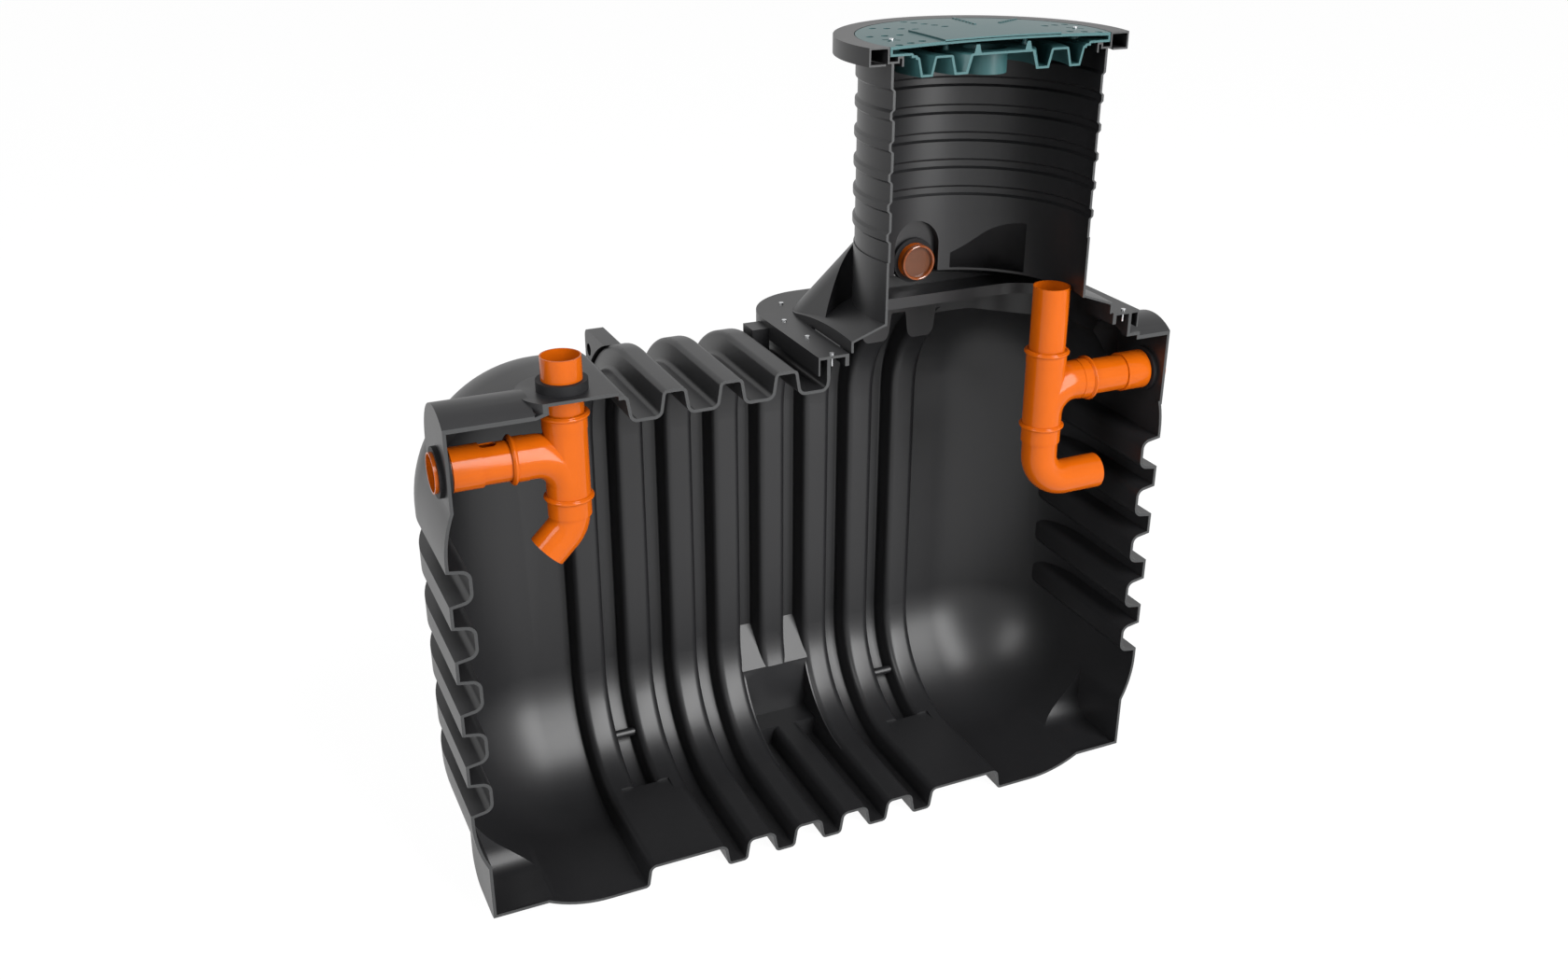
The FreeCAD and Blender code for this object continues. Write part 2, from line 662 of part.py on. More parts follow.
boss_low = lid_top - size("pan_boss_drop")
pan_line += [(size("pan_boss_radius"), pan_low), (size("pan_boss_radius"), boss_low), (0, boss_low)]
pan_wire = Part.makePolygon([Vector(shaft_x + radius, 0, z) for radius, z in pan_line])
pan_strip = pan_wire.makeOffset2D(-pan_wall, 0, True, True)
lid_pan = pan_strip.revolve(Vector(shaft_x, 0, 0), ALONG_Z, 360)

# Posts between the two skins, and the screws that hold the lid.
posts = []
post_angle = math.acos(-size("cut_offset") / size("pan_post_circle"))
for angle in (0, math.pi, math.pi / 2 - post_angle, math.pi / 2 + post_angle):
    x = shaft_x + size("pan_post_circle") * math.cos(angle)
    y = size("pan_post_circle") * math.sin(angle)
    posts.append(Part.makeCone(size("pan_post_foot"), size("pan_post_top"), pan_top - pan_low,
                               Vector(x, y, pan_low)))
screws = []
holes = []
screw_circle = lid_radius - size("lid_screw_in")
screw_top = crown_z - sphere_radius + math.sqrt(sphere_radius ** 2 - screw_circle ** 2)
shank = size("screw_shank")
run = size("screw_length")
for sign in (-1, 1):
    x = shaft_x + sign * screw_circle
    posts.append(Part.makeCylinder(size("screw_post_radius"), crown_z - rim, Vector(x, 0, rim)))
    head = Part.makeCylinder(size("screw_radius"), size("screw_head"), Vector(x, 0, screw_top))
    screws.append(head.fuse(Part.makeCylinder(shank, run, Vector(x, 0, screw_top - run))))
    holes.append(Part.makeCylinder(shank + size("fit_gap"), 2 * run, Vector(x, 0, screw_top - 3 * run / 2)))
posts = [post.common(under) for post in posts]
add("lid_plate", beyond_cut(lid_plate.cut(holes)))
add("lid_pan", beyond_cut(lid_pan.fuse(posts).cut(holes)))
add("lid_screws", Part.makeCompound(screws))

edge_x = size("flange_half_length") - size("flange_screw_inset")
edge_y = size("flange_half_width") - size("flange_screw_inset")
corner_shift = size("flange_round") * (1 - math.sqrt(0.5))
places = []
for sign in (-1, 1):
    places.append((sign * (edge_x - corner_shift), edge_y - corner_shift))
    for number in (-0.5, 0.5, 1.5):
        places.append((sign * edge_x, number * size("flange_screw_pitch")))
for number in (-1.5, -0.5, 0.5, 1.5):
    places.append((number * size("flange_screw_pitch"), edge_y))
screws = []
for x, y in places:
    seat = Vector(shaft_x + x, y, flange_top)
    tip = seat - Vector(0, 0, run)
    head = Part.makeCylinder(size("screw_radius"), size("screw_head"), seat)
    screws.append(head.fuse(Part.makeCylinder(shank, run, tip)))
    flange = flange.cut(Part.makeCylinder(shank + size("fit_gap"), run, tip))
add("turret_flange", flange)
add("flange_screws", Part.makeCompound(screws))

# Pipework. Each end has a pipe through its wall, a tee, an open riser above and a bend below.
# These are primitives and cuts whose sizes are bound to the sheet.

UP = Rotation()
TOWARDS_X = Rotation(ALONG_Y, 90)
TOWARDS_Y = Rotation(ALONG_X, -90)
TOWARDS_Y_BACK = Rotation(ALONG_X, 90)
QUARTER_TURN = Rotation(ALONG_Z, 90)


def bound(kind, name, rotation=UP, **sizes):
    """A primitive or boolean whose named properties, x, y and z follow the sheet."""
    item = doc.addObject(kind, name)
    item.Placement = Placement(Vector(0, 0, 0), rotation)
    for key, expression in sizes.items():
        target = f"Placement.Base.{key}" if key in ("x", "y", "z") else key
        item.setExpression(target, expression)
    return item


def tube(name, rotation, outer, inner, length, **place):
    """A round tube; its bore runs past both ends so that the cut is clean."""
    outside = bound("Part::Cylinder", name + "_outside", rotation, Radius=outer, Height=length, **place)
    bore = bound("Part::Cylinder", name + "_bore", rotation, Radius=inner, Height=length, **place)
    piece = doc.addObject("Part::Cut", name)
    piece.Base = outside
    piece.Tool = bore
    piece.Label = name
    return piece


def joined(name, kind, items):
    piece = doc.addObject(kind, name)
    piece.Shapes = items
    return piece


def less(name, base, tool):
    piece = doc.addObject("Part::Cut", name)
    piece.Base = base
    piece.Tool = tool
    piece.Label = name
    return piece


OUTER = "sizes.pipe_radius"
BORE = "(sizes.pipe_radius - sizes.pipe_wall)"
SOCKET = "(sizes.pipe_radius + sizes.sleeve_wall)"
MOUTH = "(sizes.pipe_radius + sizes.sleeve_wall + sizes.socket_step)"
BEAD = "(sizes.pipe_radius + sizes.sleeve_wall + sizes.bead_stand)"
INLET_FACE = "(sizes.inlet_boss_inset - sizes.tank_length / 2)"
OUTLET_FACE = "(sizes.tank_length / 2 - sizes.outlet_boss_inset)"
RISER = {
    "inlet": "(sizes.inlet_riser_in - sizes.tank_length / 2)",
    "outlet": "(sizes.tank_length / 2 - sizes.outlet_riser_in)",
}
SHAFT = "(sizes.tank_length / 2 - sizes.shaft_in)"


def socket(name, rotation, x, z, x_way=0, z_way=0):
    """A socket at a mouth: a thicker length with a rounded bead, and the tools that open it.

    x and z are the mouth's middle, and the way is the direction in which the socket runs from it.
    """
    made = []
    for part, radius, length in (("socket", MOUTH, "sizes.socket_length"),
                                 ("bead", BEAD, "sizes.bead_length"),
                                 ("gap", f"({OUTER} + sizes.mouth_gap)", "sizes.bead_round")):
        low_x = f"{x} - {length}" if x_way < 0 else x
        low_z = f"{z} - {length}" if z_way < 0 else z
        made.append(bound("Part::Cylinder", f"{name}_{part}", rotation,
                          Radius=radius, Height=length, x=low_x, z=low_z))
    whole, bead, gap = made
    rounded = doc.addObject("Part::Fillet", f"{name}_rounded_bead")
    rounded.Base = bead
    doc.recompute()
    rounded.Edges = [(number, size("bead_round"), size("bead_round"))
                     for number, edge in enumerate(bead.Shape.Edges, start=1)
                     if isinstance(edge.Curve, Part.Circle)]
    return [whole, rounded], gap


for end, way in (("inlet", -1), ("outlet", 1)):
    riser = RISER[end]
    axis = f"sizes.{end}_axis_z"
    top = f"({axis} + sizes.socket_up + sizes.bead_length / 2)"
    low = f"({axis} - sizes.socket_down - sizes.bead_length / 2)"
    reach = "(sizes.branch_reach + sizes.bead_length / 2)"
    mouth = f"({riser} + {way} * {reach})"
    arc_x = f"({riser} + {way} * sizes.sweep_radius)"
    arc_z = f"({axis} - sizes.sweep_radius)"
    turn = TOWARDS_Y_BACK if way < 0 else TOWARDS_Y_BACK.multiply(QUARTER_TURN)
    leg = f"({reach} - sizes.sweep_radius)"
    leg_x = mouth if way < 0 else arc_x
    upper, upper_gap = socket(end + "_upper", UP, riser, top, z_way=-1)
    side, side_gap = socket(end + "_side", TOWARDS_X, mouth, axis, x_way=-way)
    lower, lower_gap = socket(end + "_lower", UP, riser, f"({low} + sizes.bead_length)", z_way=-1)
    outside = joined(end + "_tee_outside", "Part::MultiFuse", upper + side + [lower[1]] + [
        bound("Part::Cylinder", end + "_tee_body", Radius=SOCKET, Height=f"{top} - {low}", x=riser, z=low),
        bound("Part::Torus", end + "_tee_sweep", turn,
              Radius1="sizes.sweep_radius", Radius2=SOCKET, x=arc_x, z=arc_z),
        bound("Part::Cylinder", end + "_tee_leg", TOWARDS_X, Radius=SOCKET, Height=leg, x=leg_x, z=axis),
    ])
    doc.getObject(end + "_tee_sweep").Angle3 = 90
    inside = joined(end + "_tee_inside", "Part::MultiFuse", [
        upper_gap, side_gap,
        bound("Part::Cylinder", end + "_tee_bore", Radius=OUTER, Height=f"{top} - {low}", x=riser, z=low),
        bound("Part::Torus", end + "_sweep_bore", turn,
              Radius1="sizes.sweep_radius", Radius2=OUTER, x=arc_x, z=arc_z),
        bound("Part::Cylinder", end + "_leg_bore", TOWARDS_X, Radius=OUTER, Height=leg, x=leg_x, z=axis),
    ])
    doc.getObject(end + "_sweep_bore").Angle3 = 90
    less(end + "_tee", outside, inside)

    riser_foot = f"({axis} + sizes.socket_up - sizes.socket_length / 2)"
    tube(end + "_riser", UP, OUTER, BORE, f"sizes.riser_top - {riser_foot}", x=riser, z=riser_foot)

inlet_end_x = f"({INLET_FACE} - sizes.inlet_mouth_out)"
inlet_stop = f"({RISER['inlet']} - sizes.branch_reach + sizes.socket_length)"
whole_pipe = tube("inlet_pipe_whole", TOWARDS_X, OUTER, BORE, f"{inlet_stop} - {inlet_end_x}", x=inlet_end_x,
                  z="sizes.inlet_axis_z")
slot_x = f"({INLET_FACE} + sizes.wall + sizes.sleeve_length + sizes.vent_slot_width)"
slot = bound("Part::Box", "vent_slot", Length="sizes.vent_slot_length - sizes.vent_slot_width",
             Width="sizes.vent_slot_width", Height="sizes.pipe_radius * 2", x=slot_x,
             y="-sizes.vent_slot_width / 2", z="sizes.inlet_axis_z")
slot_ends = [
    bound("Part::Cylinder", f"vent_slot_end_{number}", Radius="sizes.vent_slot_width / 2",
          Height="sizes.pipe_radius * 2", z="sizes.inlet_axis_z",
          x=f"{slot_x} + {number} * (sizes.vent_slot_length - sizes.vent_slot_width)")
    for number in (0, 1)
]
less("inlet_pipe", whole_pipe, joined("vent_slot_whole", "Part::MultiFuse", [slot] + slot_ends))
tube("inlet_sleeve", TOWARDS_X, SOCKET, OUTER, "sizes.sleeve_length",
     x=f"{INLET_FACE} + sizes.wall + sizes.seal_length / 2", z="sizes.inlet_axis_z")

outlet_start = f"({RISER['outlet']} + sizes.branch_reach - sizes.socket_length)"
outlet_length = f"{OUTLET_FACE} + sizes.seal_length - {outlet_start}"
tube("outlet_pipe", TOWARDS_X, OUTER, BORE, outlet_length, x=outlet_start, z="sizes.outlet_axis_z")
tube("outlet_sleeve", TOWARDS_X, SOCKET, OUTER, "sizes.sleeve_length",
     x=f"{OUTLET_FACE} - sizes.wall - sizes.seal_length / 2 - sizes.sleeve_length", z="sizes.outlet_axis_z")

# Rubber seals, one where each pipe passes a wall.
SEAL = "sizes.pipe_radius + sizes.seal_stand"
tube("inlet_seal", TOWARDS_X, SEAL, OUTER, "sizes.seal_length",
     x=f"{INLET_FACE} + sizes.wall / 2 - sizes.seal_length / 2", z="sizes.inlet_axis_z")
tube("outlet_seal", TOWARDS_X, SEAL, OUTER, "sizes.seal_length",
     x=f"{OUTLET_FACE} - sizes.wall / 2 - sizes.seal_length / 2", z="sizes.outlet_axis_z")
tube("riser_seal", UP, SEAL, OUTER, "sizes.seal_length", x=RISER["inlet"],
     z="sizes.pad_top + sizes.riser_seal_stand - sizes.seal_length")

# Vent through the shaft's back: a short pipe with a clear cap, in a seal of its own.
tube("vent_stub", TOWARDS_Y, OUTER, BORE, "sizes.vent_back - sizes.vent_front", x=SHAFT,
     y="sizes.vent_front", z="sizes.vent_axis_z")
bound("Part::Cylinder", "vent_cap", TOWARDS_Y, Radius=BORE, Height="sizes.vent_cap_wall", x=SHAFT,
      y="sizes.vent_front", z="sizes.vent_axis_z")
tube("vent_seal", TOWARDS_Y, SEAL, OUTER, "sizes.seal_length", x=SHAFT,
     y="sizes.vent_boss_face + sizes.wall / 2 - sizes.seal_length / 2", z="sizes.vent_axis_z")


def bend(label, points, radius):
    """A round bend with one arc between straight legs, below a socket that takes the tee's lower end."""
    spine = rounded_line(points, radius)
    direction = points[1] - points[0]
    pipe_radius = size("pipe_radius")
    outer = Part.Wire(Part.makeCircle(pipe_radius, points[0], direction))
    inner = Part.Wire(Part.makeCircle(pipe_radius - size("pipe_wall"), points[0], direction))
    skin = spine.makePipeShell([outer], True, False)
    mouth = points[0] - Vector(0, 0, size("bead_length") - size("fit_gap"))
    sleeve = Part.makeCylinder(pipe_radius + size("sleeve_wall"), size("socket_length"), mouth, direction)
    add(label, skin.fuse(sleeve).cut(spine.makePipeShell([inner], True, False)))


def bend_start(end, x):
    """The top of a bend, just under the bore of the tee above it."""
    low = size(end + "_axis_z") - size("socket_down") + size("bead_length") / 2
    return Vector(x, 0, low - size("fit_gap"))


mouth_z = size("inlet_axis_z") - size("socket_down") - size("inlet_bend_drop")
throw = size("inlet_bend_throw")
bend("inlet_bend", [
    bend_start("inlet", inlet_riser_x), Vector(inlet_riser_x, 0, mouth_z + throw),
    Vector(inlet_riser_x - throw, 0, mouth_z),
], size("inlet_bend_radius"))
axis_z = size("outlet_bend_axis_z")
bend("outlet_bend", [
    bend_start("outlet", outlet_riser_x), Vector(outlet_riser_x, 0, axis_z),
    Vector(outlet_riser_x + size("outlet_bend_throw"), 0, axis_z),
], size("outlet_bend_radius"))

NODES = [
    "inlet_end", "outlet_end", "hooped_wall", "tank_floor", "tank_roof", "neck_upstand", "lifting_lugs",
    "anchor_tubes", "turret_flange", "turret_hopper", "shaft_foot", "banded_shaft", "cover_ring", "lid_plate",
    "lid_pan", "lid_screws", "flange_screws", "inlet_pipe", "inlet_sleeve", "inlet_tee", "inlet_riser",
    "inlet_bend", "inlet_seal", "riser_seal", "outlet_pipe", "outlet_sleeve", "outlet_tee", "outlet_riser",
    "outlet_bend", "outlet_seal", "vent_stub", "vent_cap", "vent_seal",
]
doc.recompute()
for item in doc.Objects:
    if "Invalid" in item.State or "Error" in item.State:
        raise RuntimeError(f"{item.Label} failed: {item.State}")
os.makedirs("parts", exist_ok=True)
for label in NODES:
    piece = doc.getObjectsByLabel(label)[0]
    if piece.Shape.isNull() or not piece.Shape.isValid():
        raise RuntimeError(f"{label} has no valid shape")
    piece.Shape.exportStep(f"parts/{label}.step")
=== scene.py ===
import math

import bmesh
import bpy
from mathutils import Euler, Matrix, Vector


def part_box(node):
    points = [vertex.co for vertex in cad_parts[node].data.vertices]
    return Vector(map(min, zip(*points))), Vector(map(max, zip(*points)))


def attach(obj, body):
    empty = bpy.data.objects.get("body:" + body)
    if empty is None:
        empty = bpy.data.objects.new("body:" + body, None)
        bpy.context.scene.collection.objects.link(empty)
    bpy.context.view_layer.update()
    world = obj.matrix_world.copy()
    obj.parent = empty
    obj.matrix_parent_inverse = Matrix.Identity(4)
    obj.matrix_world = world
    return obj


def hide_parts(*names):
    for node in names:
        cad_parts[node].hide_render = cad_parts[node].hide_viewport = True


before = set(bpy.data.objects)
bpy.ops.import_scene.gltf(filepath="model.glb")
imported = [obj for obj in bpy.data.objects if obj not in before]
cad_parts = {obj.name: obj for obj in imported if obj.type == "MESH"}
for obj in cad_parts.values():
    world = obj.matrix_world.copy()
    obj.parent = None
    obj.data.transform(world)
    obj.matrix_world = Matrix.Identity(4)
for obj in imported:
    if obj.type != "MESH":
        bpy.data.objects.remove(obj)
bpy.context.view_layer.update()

# Camera. It stands in front of the cut face, left of the tank's middle and above its roof, and
# looks down and to the right. The tank's frame is the scene's frame, in metres.
camera = bpy.data.objects.new("camera", bpy.data.cameras.new("camera"))
bpy.context.scene.collection.objects.link(camera)
camera.data.lens = 34.39
camera.data.sensor_width = 36.0
camera.data.clip_end = 60.0
camera.location = (-1.7445, -3.5728, 2.9921)
camera.rotation_euler = Euler((math.radians(65.402), math.radians(-0.092), math.radians(-24.318)))
bpy.context.scene.camera = camera

# Moulded shell. The hull, the turret's flange, hopper and shaft, and the cover ring are moulded
# in black polyethylene, with a satin, slightly rippled skin. The faces where the tank is sawn
# open are paler and duller.
CUT_Y = -0.095
SAWN_DEPTH = 0.0004
SAWN_DULLER = 0.04
RIPPLE_HEIGHT = 0.0006
GRAIN_HEIGHT = 0.00006
MOTTLE_TONE = 0.12
MOTTLE_ROUGHNESS = 0.03
SKIN_BUMP = 0.2
SMOOTH_BELOW = math.radians(32.0)
SEAM_WIDTH = 0.00002


class Value:
    """The output of a shader node. Sums are written on it as on numbers."""

    def __init__(self, tree, socket):
        self.tree = tree
        self.socket = socket

    def fill(self, socket):
        self.tree.links.new(self.socket, socket)

    def math(self, operation, other):
        node = self.tree.nodes.new("ShaderNodeMath")
        node.operation = operation
        self.fill(node.inputs[0])
        if isinstance(other, Value):
            other.fill(node.inputs[1])
        else:
            node.inputs[1].default_value = other
        return Value(self.tree, node.outputs[0])

    def __add__(self, other):
        return self.math("ADD", other)

    def __mul__(self, other):
        return self.math("MULTIPLY", other)

    __radd__ = __add__
    __rmul__ = __mul__

    def between(self, low, high):
        """Stretches what runs from 0 to 1 so that it runs from low to high."""
        return self * (high - low) + low

    def below(self, limit):
        return self.math("LESS_THAN", limit)

    def or_more(self, other):
        return self.math("MAXIMUM", other)


class Nodes:
    """The nodes of a material or of the surround, and one way to add to them."""

    def __init__(self, owner):
        owner.use_nodes = True
        self.tree = owner.node_tree

    def node(self, kind, settings=(), output=0, **sockets):
        """A node with its settings made first. Sockets that share a name are called in0, in1 and so on."""
        node = self.tree.nodes.new(kind)
        for key, value in dict(settings).items():
            setattr(node, key, value)
        for key, value in sockets.items():
            socket = node.inputs[int(key[2:]) if key[2:].isdigit() else key.replace("_", " ")]
            if isinstance(value, Value):
                value.fill(socket)
            else:
                socket.default_value = value
        return Value(self.tree, node.outputs[output])


class Finish(Nodes):
    """A new material with one Principled shader."""

    def __init__(self, name, **constants):
        self.material = bpy.data.materials.new(name)
        super().__init__(self.material)
        self.shader = self.tree.nodes["Principled BSDF"]
        for socket, value in constants.items():
            self.shader.inputs[socket.replace("_", " ")].default_value = value

    def places(self):
        """Object coordinates, which are the tank's own frame."""
        return self.node("ShaderNodeTexCoord", output="Object")

    def noise(self, where, scale, detail=2.0):
        return self.node("ShaderNodeTexNoise", output="Fac", Vector=where, Scale=scale, Detail=detail)

    def mixed(self, factor, first, second):
        """Two colours, mixed by a factor. Either is three numbers or a link."""
        one, other = (colour if isinstance(colour, Value) else (*colour, 1.0)
                      for colour in (first, second))
        return self.node("ShaderNodeMix", settings={"data_type": "RGBA"}, output=2,
                         in0=factor, in6=one, in7=other)

    def bump(self, height, strength):
        return self.node("ShaderNodeBump", output="Normal", Height=height, Distance=1.0, Strength=strength)

    def feed(self, **links):
        for socket, value in links.items():
            value.fill(self.shader.inputs[socket.replace("_", " ")])
        return self.material


def moulded(name, skin, cut_skin, roughness, gloss):
    """Moulded plastic: rippled skin outside, and a sawn face where it is cut."""
    finish = Finish(name, Specular_IOR_Level=gloss)
    where = finish.places()
    depth = finish.node("ShaderNodeSeparateXYZ", output="Y", Vector=where)
    sawn = depth.below(CUT_Y + SAWN_DEPTH)
    ripple = finish.noise(where, scale=38.0, detail=3.0)
    grain = finish.noise(where, scale=420.0)
    mottle = finish.noise(where, scale=3.2, detail=4.0)
    dark, light = ([share * part for part in skin] for share in (1.0 - MOTTLE_TONE, 1.0 + MOTTLE_TONE))
    tone = finish.mixed(mottle, dark, light)
    rough = mottle.between(roughness - MOTTLE_ROUGHNESS, roughness + MOTTLE_ROUGHNESS) + sawn * SAWN_DULLER
    height = ripple * RIPPLE_HEIGHT + grain * GRAIN_HEIGHT
    return finish.feed(Base_Color=finish.mixed(sawn, tone, cut_skin), Roughness=rough,
                       Normal=finish.bump(height, SKIN_BUMP))


def shade(shape):
    """Curves shade smoothly and corners stay crisp."""
    for face in shape.faces:
        face.smooth = True
    for edge in shape.edges:
        edge.smooth = len(edge.link_faces) == 2 and edge.calc_face_angle(0.0) < SMOOTH_BELOW


def formed(name, shape):
    """A new object that has the bmesh as its mesh."""
    mesh = bpy.data.meshes.new(name)
    shape.to_mesh(mesh)
    shape.free()
    item = bpy.data.objects.new(name, mesh)
    bpy.context.scene.collection.objects.link(item)
    return item


def placed(name, shape, material, slot, *nodes):
    """The bmesh as a finished piece, which stands for the nodes named last."""
    shade(shape)
    piece = formed(name, shape)
    piece.data.materials.append(material)
    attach(piece, "root")
    if nodes:
        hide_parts(*nodes)


def merged(node):
    """A bmesh of the node's own shape with its loose triangles joined."""
    shape = bmesh.new()
    shape.from_mesh(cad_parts[node].data)
    bmesh.ops.remove_doubles(shape, verts=shape.verts, dist=SEAM_WIDTH)
    return shape


def dressed(node, material, slot):
    """The node's own shape, joined so that its curves shade smoothly."""
    placed(node + "_dressed", merged(node), material, slot, node)


shell_black = moulded("shell_black", skin=(0.013, 0.013, 0.014), cut_skin=(0.034, 0.035, 0.036),
                      roughness=0.37, gloss=0.45)
for node in (
    "inlet_end", "outlet_end", "hooped_wall", "tank_floor", "tank_roof", "neck_upstand", "lifting_lugs",
    "anchor_tubes", "turret_flange", "turret_hopper", "shaft_foot", "banded_shaft", "cover_ring",
):
    dressed(node, shell_black, "shell_black")

# Drain pipes. Each end has a straight pipe, a swept tee with a rounded bead at each of its three
# socket mouths, an open riser and a bend. They are glossy orange plastic with faint lines from
# the extruder.
PIPE_BUMP = 0.2
EXTRUDER_LINE = 0.0002
AXIS_Z = {"inlet": 1.430, "outlet": 1.388}
BEAD_INSET = 0.0075
BEAD_RADIUS = 0.0637
BEAD_THICK = 0.0050
BEAD_SIDES = 12
RING_STEPS = 72
UPWARDS = Matrix.Identity(4)
ALONG = Matrix.Rotation(math.radians(90), 4, "Y")
FORWARDS = Matrix.Rotation(math.radians(90), 4, "X")


def spun(shape, corners, stand):
    """Spins the closed outline through the corners once round its stand's own upright."""
    edges = list(dict.fromkeys(edge for corner in corners for edge in corner.link_edges))
    bmesh.ops.spin(shape, geom=corners + edges, cent=stand.translation, axis=stand.col[2].xyz,
                   angle=math.tau, steps=RING_STEPS, use_merge=True)
    bmesh.ops.recalc_face_normals(shape, faces=shape.faces)


pipe = Finish("pipe_orange", Specular_IOR_Level=0.22)
where = pipe.places()
drift = pipe.noise(where, scale=9.0)
lines = pipe.noise(where, scale=60.0)
pipe_orange = pipe.feed(Base_Color=pipe.mixed(drift, (0.47, 0.086, 0.002), (0.52, 0.097, 0.003)),
                        Roughness=drift.between(0.10, 0.15),
                        Normal=pipe.bump(lines * EXTRUDER_LINE, PIPE_BUMP))
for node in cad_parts:
    if any(word in node for word in ("_pipe", "_tee", "_riser", "_bend", "_sleeve", "vent_stub")):
        dressed(node, pipe_orange, "pipe_orange")

bead_section = Matrix.Translation((BEAD_RADIUS, 0, 0)) @ Matrix.Rotation(math.radians(90), 4, "X")
for end, axis_z in AXIS_Z.items():
    tee_low, tee_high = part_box(end + "_tee")
    riser_low, riser_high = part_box(end + "_riser")
    riser_x = (riser_low.x + riser_high.x) / 2
    mouth_x = tee_low.x + BEAD_INSET if end == "inlet" else tee_high.x - BEAD_INSET
    beads = bmesh.new()
    for mouth, turn in (
        ((riser_x, 0, tee_high.z - BEAD_INSET), UPWARDS),
        ((riser_x, 0, tee_low.z + BEAD_INSET), UPWARDS),
        ((mouth_x, 0, axis_z), ALONG),
    ):
        stand = Matrix.Translation(mouth) @ turn
        section = bmesh.ops.create_circle(beads, segments=BEAD_SIDES, radius=BEAD_THICK,
                                          matrix=stand @ bead_section)
        spun(beads, section["verts"], stand)
    placed(end + "_beads", beads, pipe_orange, "pipe_orange")

# Seals. Black rubber collars, pressed into the holes of the hull and of the shaft, close the gap
# round each pipe where it passes a wall.
RUBBER_BUMP = 0.4
RUBBER_GRAIN = 0.0002
rubber = Finish("seal_rubber", Specular_IOR_Level=0.12)
where = rubber.places()
bloom = rubber.noise(where, scale=25.0, detail=3.0)
grain = rubber.noise(where, scale=300.0)
seal_rubber = rubber.feed(Base_Color=rubber.mixed(bloom, (0.010, 0.010, 0.011), (0.020, 0.020, 0.021)),
                          Roughness=bloom.between(0.45, 0.65),
                          Normal=rubber.bump(grain * RUBBER_GRAIN, RUBBER_BUMP))
for node in ("inlet_seal", "outlet_seal", "riser_seal", "vent_seal"):
    dressed(node, seal_rubber, "seal_rubber")

# Lid. A moulded cover of two skins in dull teal, held by screws to the cover ring. Its crowned
# top has rows of round pockets, notches round the screws, a raised panel and two broken ridges
# for grip.
lid_teal = moulded("lid_teal", skin=(0.030, 0.088, 0.092), cut_skin=(0.045, 0.115, 0.120),
                   roughness=0.36, gloss=0.3)
dressed("lid_pan", lid_teal, "lid_teal")
lid_low, lid_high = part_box("lid_plate")
LID_X = (lid_low.x + lid_high.x) / 2
LID_RADIUS = (lid_high.x - lid_low.x) / 2
CROWN = 0.008
CROWN_RADIUS = (LID_RADIUS ** 2 + CROWN ** 2) / (2 * CROWN)
POCKET_ROWS = {-15: 3, 15: 3, 105: 5, 135: 4, 165: 3, 195: 3}
POCKET_REACH = 0.318
POCKET_PITCH = 0.041
POCKET_RADIUS = 0.0105
POCKET_DEPTH = 0.005
SCREW_REACH = 0.286
NOTCH_RING = 0.017
NOTCH_SIZE = (0.016, 0.009, 0.006)
PANEL_HALF = 0.178
PANEL_BACK = 0.106
PANEL_RISE = 0.004
PANEL_ROOT = 0.002
RIDGES = (((0.088, 0.318), (0.059, 0.158)), ((0.147, 0.163), (0.240, 0.234)))
RIDGE_GAPS = 6
RIDGE_BLOCK = (0.014, 0.009, 0.006)
RIDGE_ROUND = 0.001


def lid_height(x, y):
    """Height of the lid's crowned top at a place measured from the lid's middle."""
    return lid_high.z - CROWN_RADIUS + math.sqrt(CROWN_RADIUS ** 2 - x * x - y * y)


def on_lid(x, y, turn=0.0, size=(1.0, 1.0, 1.0)):
    """Stands a shape of unit size on the lid, sized and then turned about the upright."""
    spot = Vector((LID_X + x, y, lid_height(x, y)))
    return Matrix.Translation(spot) @ Matrix.Rotation(turn, 4, "Z") @ Matrix.Diagonal((*size, 1.0))


cutters = bmesh.new()
for bearing, count in POCKET_ROWS.items():
    for step in range(count):
        reach = POCKET_REACH - POCKET_PITCH * step
        x = reach * math.cos(math.radians(bearing))
        y = reach * math.sin(math.radians(bearing))
        bmesh.ops.create_cone(cutters, cap_ends=True, segments=24, radius1=POCKET_RADIUS,
                              radius2=POCKET_RADIUS, depth=2 * POCKET_DEPTH, matrix=on_lid(x, y))
for screw_x in (-SCREW_REACH, SCREW_REACH):
    for bearing in map(math.radians, (45, 135, 225, 315)):
        x = screw_x + NOTCH_RING * math.cos(bearing)
        y = NOTCH_RING * math.sin(bearing)
        bmesh.ops.create_cube(cutters, size=1.0, matrix=on_lid(x, y, bearing, NOTCH_SIZE))
cutter = formed("lid_cutters", cutters)
blank = formed("lid_blank", merged("lid_plate"))
sink = blank.modifiers.new("sink", "BOOLEAN")
sink.operation = "DIFFERENCE"
sink.solver = "EXACT"
sink.object = cutter
sunk = blank.evaluated_get(bpy.context.evaluated_depsgraph_get())
top = bmesh.new()
top.from_mesh(bpy.data.meshes.new_from_object(sunk))
bpy.data.objects.remove(cutter)
bpy.data.objects.remove(blank)
placed("lid_top", top, lid_teal, "lid_teal", "lid_plate")

